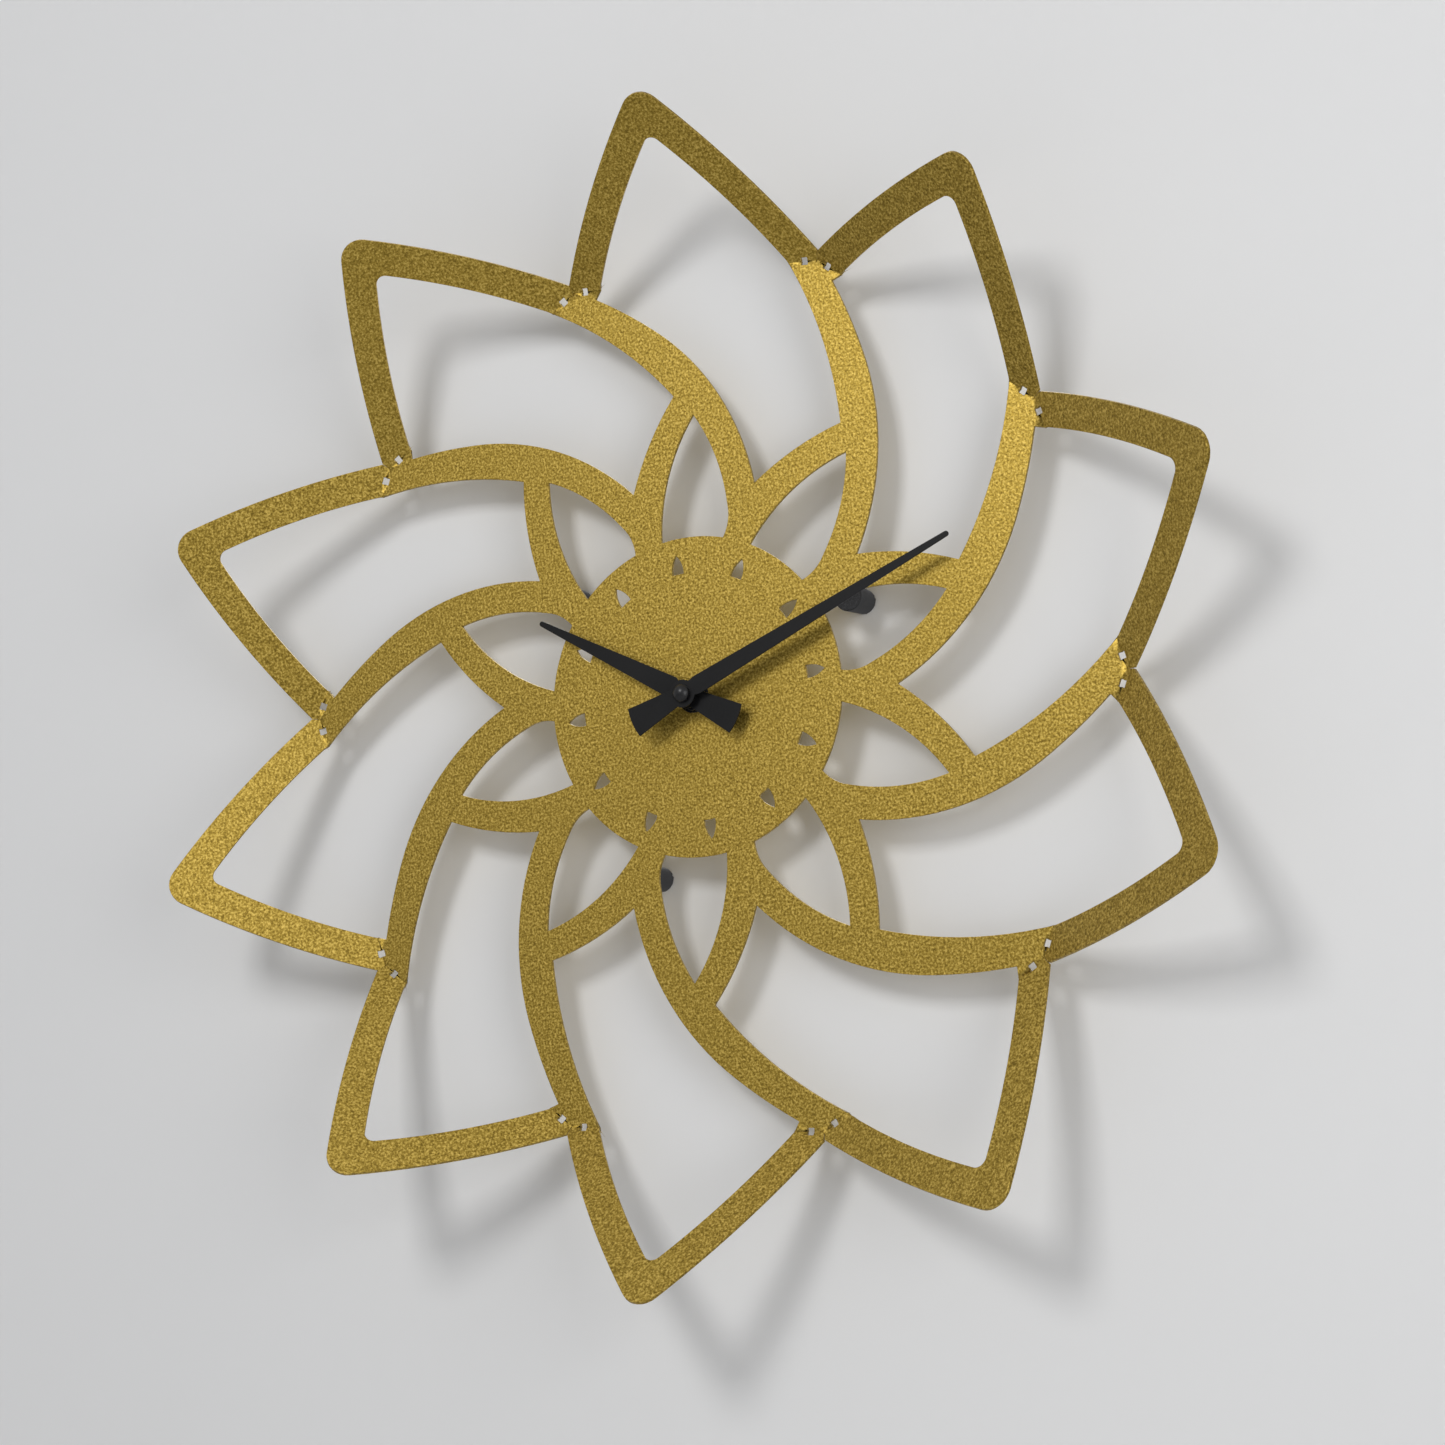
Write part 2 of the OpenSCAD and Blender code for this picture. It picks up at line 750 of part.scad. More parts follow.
// Back cover with the battery opening, the knob's recess and pillars that press on the plate
module back_cover() {
    inner_w = case_w - 2 * side_wall;
    color(abs_black) on_wall() difference() {
        union() {
            linear_extrude(cover_t) rounded_square(case_w, corner_r);
            for (p = pillars) translate(p) post(pillar_r, cover_t - bond, plate_back);
            for (p = concat([[0, 0, 0]], pivots)) {
                translate(p) post(boss_r, cover_t - bond, cover_t + boss_h);
            }
            for (x = [-1, 1]) {
                translate([x * (inner_w / 2 - catch_t / 2 - catch_play), catch_y, cover_t - bond])
                    translate([-catch_t / 2, 0, 0]) cube([catch_t, catch_w, catch_h]);
            }
        }
        translate([-battery_bay_l / 2, bay_low, -1])
            cube([battery_bay_l, bay_top - bay_low, cover_t + 2]);
        translate(knob_at) post(knob_r + pass, -1, cover_t + 1);
        post(seconds_r + run, pivot_hole_low, cover_t + 2);
        for (p = pivots) translate(p) post(pivot_r + run, pivot_hole_low, cover_t + 2);
    }
}

// Setting knob: milled disc behind, shaft through the plate and a gear on the motion wheel
module setting_knob() {
    color(white_pom) on_wall() translate(knob_at) {
        difference() {
            post(knob_r, knob_back, knob_front);
            for (i = [0 : knob_flutes - 1]) {
                rotate(i * 360 / knob_flutes) translate([knob_r + flute_out, 0])
                    post(flute_r, -1, knob_front + 1);
            }
            translate([0, 0, knob_back - 1]) linear_extrude(1 + slot_d)
                square([slot_l, slot_w], center = true);
        }
        post(knob_shaft_r, knob_front - bond, gear_low);
        gear(knob_teeth, motion_mod, knob_phase, gear_low - 0.1, gear_low + 1.2, bore_inset);
        post(arbor_r, gear_low - bond, case_inner + arbor_end);
    }
}

// Hour wheel with the pipe that carries the hour hand
module hour_wheel() {
    color(white_pom) on_wall() {
        bore = minute_pipe_r + run;
        gear(hour_teeth, hour_mod, hour_phase, hour_low, hour_low + 1, bore);
        ring(hour_pipe_r, bore, hour_low, hour_hand_back + hand_t + 0.4);
    }
}

// Motion wheel: takes the minute pinion's turn down to the hour wheel
module motion_wheel() {
    color(white_pom) on_wall() translate(motion_at) {
        gear(motion_teeth, motion_mod, motion_phase, gear_low, gear_low + wheel_t, arbor_r - bond);
        gear(motion_pinion, hour_mod, 0, gear_low + wheel_t - 0.1, hour_low + 1.3, arbor_r - bond);
        post(arbor_r, plate_back + bond, case_inner + arbor_end);
    }
}

// Minute pipe with its pinion, the threaded end for the cap and the flange of its slip clutch
module minute_pipe() {
    color(white_pom) on_wall() difference() {
        union() {
            gear(minute_pinion, motion_mod, 0, gear_low - bond, gear_low + 1.2, bore_inset);
            post(flange_r, flange_low, centre_low - clutch_gap);
            post(minute_pipe_r, flange_low, cap_back);
            post(minute_thread_r, cap_back - bond, cap_back + cap_thread_l);
        }
        post(seconds_r + run, flange_low - 1, cap_back + cap_thread_l + 1);
    }
}

// Centre wheel, which turns the minute pipe through the clutch
module centre_wheel() {
    color(white_pom) on_wall() gear(
        centre_teeth, centre_mod, centre_phase, centre_low, centre_low + wheel_t,
        minute_pipe_r + run
    );
}

// Spring washer that presses the centre wheel on the pipe's flange
module clutch_spring() {
    low = centre_low + wheel_t + clutch_gap;
    color(brass) on_wall() ring(spring_r, minute_pipe_r, low, low + spring_t);
}

// Third wheel and its pinion, which drives the centre wheel
module third_wheel() {
    color(white_pom) on_wall() translate(third_at) {
        bore = pivot_r - bore_inset;
        gear(third_teeth, third_mod, third_phase, third_low, third_low + wheel_t, bore);
        gear(third_pinion, centre_mod, 0, third_low + wheel_t - 0.1, centre_low + 1.2, bore);
        post(pivot_r, pivot_low, plate_front);
    }
}

// Seconds wheel on its long arbor, turning once a minute inside the minute pipe
module seconds_wheel() {
    color(white_pom) on_wall() {
        bore = seconds_r - bore_inset;
        gear(seconds_teeth, fifth_mod, 0, seconds_low, seconds_low + wheel_t, bore);
        gear(seconds_pinion, third_mod, 0, seconds_low + wheel_t - 0.1, third_low + 1.1, bore);
        post(seconds_r, pivot_low, cap_back + cap_thread_l - 0.6);
    }
}

// Fifth wheel: driven by the rotor, its pinion drives the seconds wheel
module fifth_wheel() {
    color(white_pom) on_wall() translate(fifth_at) {
        bore = pivot_r - bore_inset;
        gear(fifth_teeth, rotor_mod, 0, third_low, third_low + wheel_t, bore);
        gear(fifth_pinion, fifth_mod, fifth_phase, seconds_low - 0.2, third_low + 0.1, bore);
        post(pivot_r, pivot_low, plate_front);
    }
}

// Rotor arbor with its pinion
module rotor() {
    color(white_pom) on_wall() translate(rotor_at) {
        gear(rotor_pinion, rotor_mod, rotor_phase, third_low - 0.3, magnet_low, pivot_r - bore_inset);
        post(pivot_r, pivot_low, plate_front);
    }
}

// Two-pole magnet pressed on the rotor arbor
module rotor_magnet() {
    color(steel) on_wall() translate(rotor_at)
        ring(magnet_r, pivot_r, magnet_low, magnet_low + magnet_t);
}

// Stator sheet round the magnet, its legs up to the coil core
module stator() {
    left = motor_left;
    right = motor_right;
    leg = 3.8;
    low = rotor_at.y - 3.2;
    high = rotor_at.y + 3.2;
    end_y = core_y + leg / 2;
    thickness = stator_front - core_front;
    color(steel) on_wall() translate([0, 0, core_front]) linear_extrude(thickness) difference() {
        polygon([
            [left, low], [right - 4.6, low], [right, high - 2.6], [right, end_y],
            [right - leg, end_y], [right - leg, high], [left + leg, high],
            [left + leg, end_y], [left, end_y]
        ]);
        translate([rotor_at.x, rotor_at.y]) circle(r = magnet_r + 0.5);
        for (p = motor_posts) translate([p.x, p.y]) circle(r = screw_r);
    }
}

// Soft-iron core through the coil, screwed to the stator's legs
module coil_core() {
    thickness = core_front - core_back;
    color(steel) on_wall() translate([0, 0, core_back]) linear_extrude(thickness) difference() {
        translate([motor_left, core_y - core_w / 2]) square([motor_right - motor_left, core_w]);
        for (p = motor_posts) translate([p.x, p.y]) circle(r = screw_r);
    }
}

// Bobbin with a square hole for the core and two flanges
module coil_bobbin() {
    color(white_pom) on_wall() difference() {
        union() {
            for (x = [bobbin_left, bobbin_right - flange_t])
                translate([x, core_y - flange_w / 2, coil_mid - flange_w / 2])
                    cube([flange_t, flange_w, flange_w]);
            translate([bobbin_left + flange_t / 2, core_y, coil_mid]) rotate([0, 90, 0])
                cylinder(r = barrel_r, h = bobbin_right - bobbin_left - flange_t);
        }
        translate([bobbin_left - 1, core_y - core_w / 2, core_back])
            cube([bobbin_right - bobbin_left + 2, core_w, core_front - core_back]);
    }
}

// Copper winding between the flanges
module coil_winding() {
    color(copper) on_wall() translate([bobbin_left + flange_t, core_y, coil_mid]) rotate([0, 90, 0])
        linear_extrude(bobbin_right - bobbin_left - 2 * flange_t) difference() {
            circle(r = winding_r);
            circle(r = barrel_r);
        }
}

// Two screws that clamp core and stator to the middle plate
module motor_screws() {
    color(steel) on_wall() for (p = motor_posts) translate(p) difference() {
        union() {
            post(1.3, core_back - 0.9, core_back);
            post(screw_r, core_back - 0.1, plate_front - 0.2);
        }
        translate([-1.5, -0.15, core_back - 1.9]) cube([3, 0.3, 1.4]);
    }
}

// Circuit board on two posts of the middle plate
module circuit_board() {
    color(board_green) on_wall() translate([board_x, board_y, board_front - board_t])
        cube([board_w, board_h, board_t]);
}

// Resin drop over the chip
module chip_cover() {
    drop_r = (chip_r * chip_r + 1) / 2;
    at = [board_x + 5, board_y + 6, board_front - board_t];
    color(abs_black) on_wall() translate(at) intersection() {
        translate([0, 0, drop_r - 1]) sphere(r = drop_r);
        translate([0, 0, -2]) cylinder(r = chip_r, h = 2);
    }
}

// Tuning-fork crystal in its can, lying on the board
module quartz_crystal() {
    color(steel) on_wall() translate([board_x + 10.5, board_y + 9.5, board_front - board_t - 1])
        rotate([0, 90, 0]) cylinder(r = 1, h = 6);
}

// Battery with its raised terminal, lying in the bay
module battery() {
    body_l = battery_l - terminal_h;
    at = [battery_right - battery_l, battery_y, battery_mid];
    color(battery_film) on_wall() translate(at) rotate([0, 90, 0]) {
        cylinder(d = battery_d, h = body_l);
        translate([0, 0, body_l - bond]) cylinder(r = terminal_r, h = terminal_h + bond);
    }
}

// Flat brass contact at the battery's raised terminal
module positive_contact() {
    color(brass) on_wall() translate([battery_right, battery_y - contact_w / 2, contact_low])
        cube([contact_t, contact_w, contact_top - contact_low]);
}

// Sprung brass contact at the battery's flat end
module negative_contact() {
    wall_x = -battery_bay_l / 2;
    end_x = battery_right - battery_l;
    color(brass) on_wall() translate([0, battery_y - contact_w / 2, 0])
        rotate([90, 0, 0]) mirror([0, 0, 1]) linear_extrude(contact_w) polygon([
            [wall_x, contact_low],
            [wall_x + contact_t, contact_low],
            [wall_x + contact_t, battery_mid + 3.6],
            [end_x - contact_t, battery_mid],
            [end_x - contact_t, battery_mid - 2.5],
            [end_x, battery_mid - 2.5],
            [end_x, battery_mid + 0.2],
            [wall_x + contact_t + 0.2, contact_top],
            [wall_x, contact_top]
        ]);
}

face_plate();
hour_hand();
hour_collet();
minute_hand();
minute_collet();
cap_nut();
mounting_nut();
dial_washer();
rubber_washer();
hanger();
wall_bumpers();
bumper_pads();
case_front();
middle_plate();
back_cover();
setting_knob();
hour_wheel();
motion_wheel();
minute_pipe();
centre_wheel();
clutch_spring();
third_wheel();
seconds_wheel();
fifth_wheel();
rotor();
rotor_magnet();
stator();
coil_core();
coil_bobbin();
coil_winding();
motor_screws();
circuit_board();
chip_cover();
quartz_crystal();
battery();
positive_contact();
negative_contact();
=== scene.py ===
import json
import math

import bpy
from mathutils import Matrix, Vector


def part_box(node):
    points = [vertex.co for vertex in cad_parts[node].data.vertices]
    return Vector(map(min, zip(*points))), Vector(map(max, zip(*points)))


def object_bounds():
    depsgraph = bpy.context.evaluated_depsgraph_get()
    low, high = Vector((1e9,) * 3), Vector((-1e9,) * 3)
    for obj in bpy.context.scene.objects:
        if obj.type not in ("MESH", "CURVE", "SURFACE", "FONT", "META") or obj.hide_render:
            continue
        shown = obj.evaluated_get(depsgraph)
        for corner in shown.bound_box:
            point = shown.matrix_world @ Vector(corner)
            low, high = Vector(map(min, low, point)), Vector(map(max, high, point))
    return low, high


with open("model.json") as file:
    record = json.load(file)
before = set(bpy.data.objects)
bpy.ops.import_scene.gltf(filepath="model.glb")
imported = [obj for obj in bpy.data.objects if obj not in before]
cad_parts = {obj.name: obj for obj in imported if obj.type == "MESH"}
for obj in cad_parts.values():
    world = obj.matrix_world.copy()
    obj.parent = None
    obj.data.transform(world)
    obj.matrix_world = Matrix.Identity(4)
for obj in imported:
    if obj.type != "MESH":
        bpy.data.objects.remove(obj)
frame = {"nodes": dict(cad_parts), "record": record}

cad_low, cad_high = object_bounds()
MM = 0.001
FOLD_ANGLE = math.radians(32)  # edges bent less than this are shaded smooth
ROUND_ANGLE = math.radians(40)  # edges bent more than this are rounded
WELD = 0.000002
nodes = frame["nodes"]
scene = bpy.context.scene
scene.view_settings.view_transform = "Standard"


# ---------------------------------------------------------------- materials
class Nodes:
    """A material's node tree, with short calls to add and join nodes."""

    def __init__(self, name):
        self.material = bpy.data.materials.new(name)
        self.material.use_nodes = True
        self.tree = self.material.node_tree
        self.tree.nodes.clear()
        self.shader = self.tree.nodes.new("ShaderNodeBsdfPrincipled")
        self.output = self.tree.nodes.new("ShaderNodeOutputMaterial")
        self.tree.links.new(self.shader.outputs[0], self.output.inputs[0])
        self.place = self.tree.nodes.new("ShaderNodeTexCoord").outputs["Object"]

    def join(self, source, target):
        self.tree.links.new(source, target)

    def noise(self, scale, detail=2.0, roughness=0.5, stretch=None, place=None):
        n = self.tree.nodes.new("ShaderNodeTexNoise")
        n.inputs["Scale"].default_value = scale
        n.inputs["Detail"].default_value = detail
        n.inputs["Roughness"].default_value = roughness
        self.join(self.stretched(stretch, place), n.inputs["Vector"])
        return n.outputs["Fac"]

    def cells(self, scale, place=None):
        n = self.tree.nodes.new("ShaderNodeTexVoronoi")
        n.inputs["Scale"].default_value = scale
        self.join(place or self.place, n.inputs["Vector"])
        return n.outputs["Distance"]

    def stretched(self, stretch, place=None):
        place = place or self.place
        if stretch is None:
            return place
        m = self.tree.nodes.new("ShaderNodeMapping")
        m.inputs["Scale"].default_value = stretch
        self.join(place, m.inputs["Vector"])
        return m.outputs[0]

    def ramp(self, value, stops):
        n = self.tree.nodes.new("ShaderNodeValToRGB")
        while len(n.color_ramp.elements) < len(stops):
            n.color_ramp.elements.new(0.5)
        for element, (at, colour) in zip(n.color_ramp.elements, stops):
            element.position = at
            element.color = (*colour, 1) if len(colour) == 3 else colour
        self.join(value, n.inputs["Fac"])
        return n.outputs["Color"]

    def range(self, value, low, high, from_low=0.3, from_high=0.7):
        n = self.tree.nodes.new("ShaderNodeMapRange")
        n.inputs["From Min"].default_value = from_low
        n.inputs["From Max"].default_value = from_high
        n.inputs["To Min"].default_value = low
        n.inputs["To Max"].default_value = high
        self.join(value, n.inputs["Value"])
        return n.outputs[0]

    def mix(self, factor, a, b):
        n = self.tree.nodes.new("ShaderNodeMix")
        n.data_type = "RGBA"
        for socket, value in zip((n.inputs[0], n.inputs[6], n.inputs[7]), (factor, a, b)):
            if isinstance(value, tuple):
                socket.default_value = (*value, 1)
            elif isinstance(value, float):
                socket.default_value = value
            else:
                self.join(value, socket)
        return n.outputs[2]

    def bump(self, height, distance, strength=1.0, after=None):
        n = self.tree.nodes.new("ShaderNodeBump")
        n.inputs["Strength"].default_value = strength
        n.inputs["Distance"].default_value = distance
        self.join(height, n.inputs["Height"])
        if after is not None:
            self.join(after, n.inputs["Normal"])
        return n.outputs[0]

    def set(self, name, value):
        socket = self.shader.inputs[name]
        if isinstance(value, (int, float)):
            socket.default_value = value
        elif isinstance(value, tuple):
            socket.default_value = (*value, 1)
        else:
            self.join(value, socket)


def gold_coat():
    """Metallic gold powder coat: a fine orange peel and flakes of lighter and darker gold."""
    n = Nodes("gold_coat")
    flakes = n.noise(1050, 2.0, 0.65)
    patches = n.noise(14, 3.0, 0.55)
    stops = [
        (0.32, (0.17, 0.108, 0.013)),
        (0.5, (0.37, 0.25, 0.04)),
        (0.68, (0.68, 0.49, 0.12)),
    ]
    colour = n.mix(n.range(patches, 0.0, 0.18), n.ramp(flakes, stops), (0.30, 0.20, 0.03))
    n.set("Base Color", colour)
    n.set("Metallic", 0.86)
    n.set("Roughness", n.range(flakes, 0.36, 0.5))
    peel = n.bump(n.noise(720, 2.0, 0.5), 0.00016, 0.7)
    n.set("Normal", n.bump(n.cells(2600), 0.00004, 0.35, peel))
    return n.material


def painted(name, colour, light, roughness, grain, bump, specular):
    """Thin satin paint: a faint grain, and lighter patches."""
    n = Nodes(name)
    fine = n.noise(grain, 3.0, 0.6)
    wide = n.noise(60, 3.0, 0.5)
    tone = n.mix(n.range(fine, 0.0, 0.5), colour, light)
    n.set("Base Color", n.mix(n.range(wide, 0.0, 0.35), tone, light))
    n.set("Specular IOR Level", specular)
    n.set("Roughness", n.range(wide, roughness - 0.05, roughness + 0.06))
    n.set("Normal", n.bump(fine, bump, 0.5))
    return n.material


def brushed(name, colour, dark, roughness, stretch, metallic=1.0):
    """Rolled or turned metal: streaks one way, with stains and a few scratches."""
    n = Nodes(name)
    streaks = n.noise(900, 3.0, 0.6, stretch)
    stains = n.noise(120, 4.0, 0.6)
    tone = n.mix(n.range(streaks, 0.0, 0.55), colour, dark)
    n.set("Base Color", n.mix(n.range(stains, 0.0, 0.3), tone, dark))
    n.set("Metallic", metallic)
    n.set("Roughness", n.range(streaks, roughness - 0.06, roughness + 0.1))
    n.set("Normal", n.bump(streaks, 0.00001, 0.5))
    return n.material


def moulded(name, colour, light, roughness, spark, depth):
    """Moulded plastic with a fine spark-eroded grain."""
    n = Nodes(name)
    grain = n.noise(spark, 3.0, 0.65)
    wide = n.noise(40, 2.0, 0.5)
    tone = n.mix(n.range(grain, 0.0, 0.6), colour, light)
    n.set("Base Color", n.mix(n.range(wide, 0.0, 0.25), tone, light))
    n.set("Roughness", n.range(grain, roughness - 0.06, roughness + 0.08))
    n.set("Normal", n.bump(grain, depth, 0.6))
    return n.material


def rubber():
    """Black rubber with a matt grain and a little dust."""
    n = Nodes("rubber_black")
    grain = n.noise(1400, 4.0, 0.7)
    dust = n.noise(230, 5.0, 0.7)
    dusty = n.range(dust, 0.0, 0.6, 0.45, 0.75)
    n.set("Base Color", n.mix(dusty, (0.018, 0.018, 0.019), (0.05, 0.05, 0.052)))
    n.set("Roughness", n.range(dust, 0.62, 0.82))
    n.set("Normal", n.bump(grain, 0.00004, 0.6))
    return n.material


def foam():
    """Black adhesive foam with open cells, painted darkest at the bottom of each pore as shade."""
    n = Nodes("pad_black")
    pores_and_pore_shade = n.cells(1800)
    stops = [
        (0.0, (0.006, 0.006, 0.006)),
        (0.4, (0.022, 0.022, 0.023)),
        (1.0, (0.04, 0.04, 0.042)),
    ]
    # Darker towards each cell's middle: painted shade at the bottom of the pores.
    n.set("Base Color", n.ramp(pores_and_pore_shade, stops))
    n.set("Roughness", n.range(pores_and_pore_shade, 0.95, 0.8, 0.0, 1.0))
    n.set("Normal", n.bump(pores_and_pore_shade, 0.00012, 0.7))
    return n.material


def winding():
    """Enamelled copper wire wound side by side round the bobbin's long direction. Each turn is
    painted dark at its sides and light along its crest: painted shade between the turns and a
    painted highlight on each turn.
    """
    n = Nodes("copper")
    wave = n.tree.nodes.new("ShaderNodeTexWave")
    wave.bands_direction = "X"
    wave.inputs["Scale"].default_value = 1900
    wave.inputs["Distortion"].default_value = 0.4
    n.join(n.place, wave.inputs["Vector"])
    turns_and_turn_shade = wave.outputs["Fac"]
    # The ramp runs dark to light across each turn: painted shade in the grooves between turns,
    # painted highlight on the crests.
    stops = [(0.0, (0.20, 0.055, 0.02)), (0.6, (0.52, 0.19, 0.07)), (1.0, (0.66, 0.28, 0.12))]
    n.set("Base Color", n.ramp(turns_and_turn_shade, stops))
    n.set("Metallic", 0.9)
    n.set("Roughness", 0.32)
    n.set("Coat Weight", 0.5)
    n.set("Normal", n.bump(turns_and_turn_shade, 0.00008, 0.9))
    return n.material


def board():
    """Green solder mask over copper tracks, a lighter green where a track runs below."""
    n = Nodes("board_green")
    brick = n.tree.nodes.new("ShaderNodeTexBrick")
    brick.inputs["Scale"].default_value = 380
    brick.inputs["Mortar Size"].default_value = 0.03
    n.join(n.place, brick.inputs["Vector"])
    speck = n.noise(900, 3.0, 0.6)
    tone = n.mix(brick.outputs["Fac"], (0.012, 0.10, 0.035), (0.03, 0.19, 0.07))
    n.set("Base Color", n.mix(n.range(speck, 0.0, 0.3), tone, (0.008, 0.06, 0.02)))
    n.set("Roughness", 0.28)
    n.set("Normal", n.bump(brick.outputs["Fac"], 0.00003, 0.5))
    return n.material


def battery_film():
    """Plain film: a copper band at the raised terminal's end, dark along the rest."""
    n = Nodes("battery_wrap")
    band_at = 0.70
    band_blur = 0.005
    low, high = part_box("battery")
    split = n.tree.nodes.new("ShaderNodeSeparateXYZ")
    n.join(n.place, split.inputs[0])
    reach = high.x - low.x
    edge = low.x + band_at * reach
    band = n.range(split.outputs["X"], 0.0, 1.0, edge, edge + band_blur * reach)
    grain = n.noise(500, 3.0, 0.6)
    dark = n.mix(n.range(grain, 0.0, 0.4), (0.012, 0.013, 0.016), (0.03, 0.032, 0.038))
    warm = n.mix(n.range(grain, 0.0, 0.4), (0.42, 0.18, 0.06), (0.55, 0.26, 0.1))
    n.set("Base Color", n.mix(band, dark, warm))
    n.set("Metallic", n.range(band, 0.1, 0.75, 0.0, 1.0))
    n.set("Roughness", n.range(grain, 0.24, 0.32))
    n.set("Coat Weight", 0.4)
    n.set("Normal", n.bump(grain, 0.00001, 0.4))
    return n.material


def resin():
    """Glossy drop of black resin with a swollen surface."""
    n = Nodes("resin_black")
    swell = n.noise(700, 2.0, 0.5)
    swollen = n.range(swell, 0.0, 0.5)
    n.set("Base Color", n.mix(swollen, (0.008, 0.008, 0.009), (0.022, 0.022, 0.024)))
    n.set("Roughness", n.range(swell, 0.16, 0.3))
    n.set("Normal", n.bump(swell, 0.00006, 0.5))
    return n.material


STREAKS_Z = (1.0, 1.0, 0.06)
STREAKS_X = (0.08, 1.0, 1.0)
STREAKS_CAN = (0.1, 1.0, 1.0)
EVEN = (1.0, 1.0, 1.0)

FINISH = {
    "gold_coat": gold_coat(),
    "hand_black": painted(
        "hand_black", (0.003, 0.003, 0.0032), (0.008, 0.008, 0.0085), 0.42, 900, 0.00002, 0.22
    ),
    "nut_black": painted(
        "nut_black", (0.004, 0.004, 0.0045), (0.012, 0.012, 0.013), 0.3, 1200, 0.00001, 0.4
    ),
    "steel": brushed("steel", (0.60, 0.60, 0.61), (0.38, 0.38, 0.39), 0.33, STREAKS_Z),
    "brass": brushed("brass", (0.72, 0.49, 0.19), (0.5, 0.32, 0.11), 0.28, STREAKS_X),
    "case_black": moulded(
        "case_black", (0.016, 0.016, 0.017), (0.036, 0.036, 0.038), 0.5, 1500, 0.00005
    ),
    "pom_white": moulded(
        "pom_white", (0.70, 0.70, 0.66), (0.80, 0.80, 0.76), 0.4, 800, 0.00002
    ),
    "rubber_black": rubber(),
    "pad_black": foam(),
    "magnet": brushed("magnet", (0.17, 0.17, 0.18), (0.08, 0.08, 0.085), 0.42, EVEN, 0.8),
    "copper": winding(),
    "board_green": board(),
    "resin_black": resin(),
    "crystal_can": brushed(
        "crystal_can", (0.78, 0.79, 0.80), (0.6, 0.6, 0.61), 0.18, STREAKS_CAN
    ),
    "battery_wrap": battery_film(),
}

SLOT = {part["node"]: part["material_slot"] for part in frame["record"]["subparts"]}


# ---------------------------------------------------------------- CAD nodes
def smooth_by_angle():
    """A modifier group that shades a mesh smooth, apart from its sharp edges."""
    group = bpy.data.node_groups.new("shade_by_angle", "GeometryNodeTree")
    group.interface.new_socket("Geometry", in_out="INPUT", socket_type="NodeSocketGeometry")
    group.interface.new_socket("Geometry", in_out="OUTPUT", socket_type="NodeSocketGeometry")
    start = group.nodes.new("NodeGroupInput")
    end = group.nodes.new("NodeGroupOutput")
    faces = group.nodes.new("GeometryNodeSetShadeSmooth")
    faces.domain = "FACE"
    edges = group.nodes.new("GeometryNodeSetShadeSmooth")
    edges.domain = "EDGE"
    angle = group.nodes.new("GeometryNodeInputMeshEdgeAngle")
    soft = group.nodes.new("FunctionNodeCompare")
    soft.operation = "LESS_THAN"
    soft.inputs[1].default_value = FOLD_ANGLE
    group.links.new(start.outputs[0], faces.inputs["Geometry"])
    group.links.new(faces.outputs[0], edges.inputs["Geometry"])
    group.links.new(angle.outputs["Unsigned Angle"], soft.inputs[0])
    group.links.new(soft.outputs[0], edges.inputs["Shade Smooth"])
    group.links.new(edges.outputs[0], end.inputs[0])
    return group


SHADE = smooth_by_angle()


def soften(piece, width, segments=2):
    """Joins split corners, rounds the sharp edges and shades the rest smooth."""
    weld = piece.modifiers.new("weld", "WELD")
    weld.merge_threshold = WELD
    piece.modifiers.new("shade", "NODES").node_group = SHADE
    bevel = piece.modifiers.new("round", "BEVEL")
    bevel.width = width
    bevel.segments = segments
    bevel.limit_method = "ANGLE"
    bevel.angle_limit = ROUND_ANGLE
    bevel.use_clamp_overlap = False
    bevel.harden_normals = True


# Width of the rounded edges in millimetres, by node
FINE_EDGE = 0.04
ROUND = {
    "hour_hand": 0.08, "minute_hand": 0.08, "cap_nut": 0.12, "mounting_nut": 0.2,
    "dial_washer": 0.1, "rubber_washer": 0.15, "hanger": 0.12, "wall_bumpers": 0.6,
    "case_front": 0.25, "back_cover": 0.25, "setting_knob": 0.15, "circuit_board": 0.06,
    "coil_bobbin": 0.1, "middle_plate": 0.12, "hour_wheel": 0.05, "motion_wheel": 0.05,
    "minute_pipe": 0.05, "centre_wheel": 0.05, "stator": 0.08, "coil_core": 0.08,
    "face_plate": 0.15, "motor_screws": 0.08, "negative_contact": 0.05, "positive_contact": 0.06,
}

for name, piece in nodes.items():
    for holder in piece.material_slots:
        holder.material = FINISH[SLOT[name]]
    soften(piece, ROUND.get(name, FINE_EDGE) * MM)


# ---------------------------------------------------------------- stage
def plain(name, colour, roughness, back_clear):
    """A matt stage colour. A backdrop shows only from its front, so that it hides nothing."""
    n = Nodes(name)
    tone = n.noise(3.0, 2.0, 0.5)
    shade = tuple(c * 0.97 for c in colour)
    n.set("Base Color", n.mix(n.range(tone, 0.0, 0.5), colour, shade))
    n.set("Roughness", roughness)
    if back_clear:
        side = n.tree.nodes.new("ShaderNodeNewGeometry")
        clear = n.tree.nodes.new("ShaderNodeBsdfTransparent")
        blend = n.tree.nodes.new("ShaderNodeMixShader")
        n.join(side.outputs["Backfacing"], blend.inputs[0])
        n.join(n.shader.outputs[0], blend.inputs[1])
        n.join(clear.outputs[0], blend.inputs[2])
        n.join(blend.outputs[0], n.output.inputs[0])
    return n.material


def sheet(name, corners, material):
    mesh = bpy.data.meshes.new(name)
    mesh.from_pydata(corners, [], [(0, 1, 2, 3)])
    piece = bpy.data.objects.new(name, mesh)
    mesh.materials.append(material)
    scene.collection.objects.link(piece)
    return piece


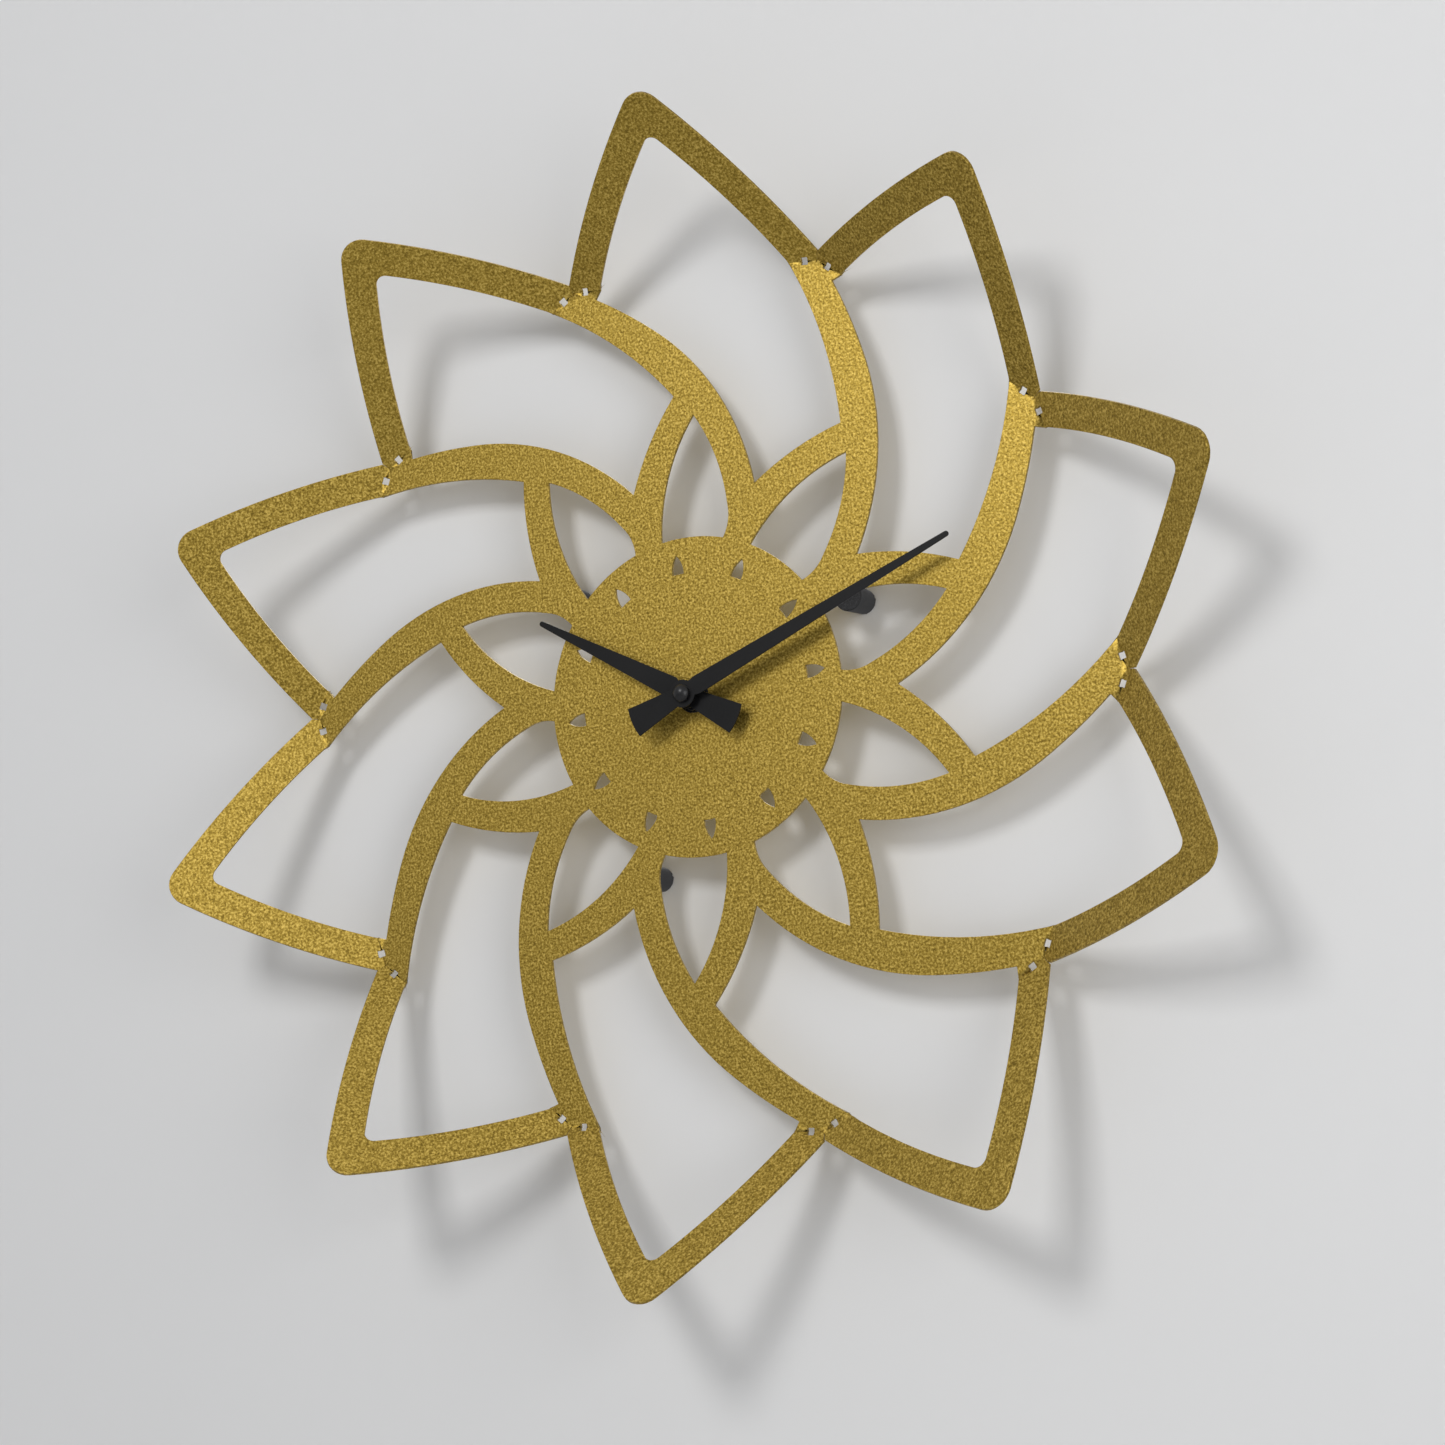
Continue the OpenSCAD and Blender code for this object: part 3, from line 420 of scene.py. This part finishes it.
FLOOR_Z = cad_low.z - 0.35
WALL_Y = 0.0004
HALF = 4
DEPTH = 6
PALE = (0.80, 0.80, 0.80)
MATT = 0.9
wall = sheet(
    "backdrop_wall",
    [(x, WALL_Y, z) for x, z in ((-HALF, FLOOR_Z), (HALF, FLOOR_Z), (HALF, HALF), (-HALF, HALF))],
    plain("stage_wall", PALE, MATT, True),
)
wall.visible_glossy = False
wall.visible_diffuse = False
wall.visible_shadow = False
wall.visible_transmission = False
sheet(
    "stage_floor",
    [(x, y, FLOOR_Z) for x, y in ((-HALF, -DEPTH), (HALF, -DEPTH), (HALF, DEPTH), (-HALF, DEPTH))],
    plain("stage_floor", PALE, MATT, False),
)


# ---------------------------------------------------------------- light
def lamp(name, place, target, width, height, watts):
    data = bpy.data.lights.new(name, "AREA")
    data.shape = "RECTANGLE"
    data.size = width
    data.size_y = height
    data.energy = watts
    piece = bpy.data.objects.new(name, data)
    piece.location = place
    piece.rotation_mode = "QUATERNION"
    piece.rotation_quaternion = (Vector(target) - Vector(place)).to_track_quat("-Z", "Y")
    piece.visible_camera = False
    scene.collection.objects.link(piece)


lamp("key_light", (-0.1, -1.75, 0.95), (0, 0, 0), 0.5, 0.5, 12.5)
lamp("fill_light", (1.25, -1.0, -0.08), (0, 0, -0.05), 0.75, 1.0, 7)
lamp("back_light", (-0.8, 1.6, 1.1), (0, 0, 0), 1.2, 1.2, 12)



def background(tree, colour, strength):
    n = tree.nodes.new("ShaderNodeBackground")
    n.inputs["Color"].default_value = (*colour, 1)
    n.inputs["Strength"].default_value = strength
    return n.outputs[0]


def greater(tree, a, b):
    n = tree.nodes.new("ShaderNodeMath")
    n.operation = "MAXIMUM"
    tree.links.new(a, n.inputs[0])
    tree.links.new(b, n.inputs[1])
    return n.outputs[0]


# Soft light on the object; a plain pale room where the camera, metal or glass sees it
world = bpy.data.worlds.new("studio")
scene.world = world
world.use_nodes = True
tree = world.node_tree
tree.nodes.clear()
rays = tree.nodes.new("ShaderNodeLightPath").outputs
looks = greater(tree, rays["Is Camera Ray"], rays["Is Glossy Ray"])
seen = greater(tree, looks, rays["Is Transmission Ray"])
pick = tree.nodes.new("ShaderNodeMixShader")
result = tree.nodes.new("ShaderNodeOutputWorld")
tree.links.new(seen, pick.inputs[0])
tree.links.new(background(tree, (0.8, 0.81, 0.83), 0.4), pick.inputs[1])
tree.links.new(background(tree, (0.62, 0.62, 0.63), 1.0), pick.inputs[2])
tree.links.new(pick.outputs[0], result.inputs[0])


# ---------------------------------------------------------------- camera
data = bpy.data.cameras.new("camera")
data.sensor_width = 36
data.lens = 66.72
data.clip_start = 0.01
data.clip_end = 50
camera = bpy.data.objects.new("camera", data)
right = Vector((0.885114, 0.447760, -0.126825))
up = Vector((0.187139, -0.092937, 0.977927))
back = Vector((0.426090, -0.889311, -0.166053))
turn = Matrix((right, up, back)).transposed()
camera.matrix_world = Matrix.Translation((0.465683, -0.966454, -0.190102)) @ turn.to_4x4()
scene.collection.objects.link(camera)
scene.camera = camera
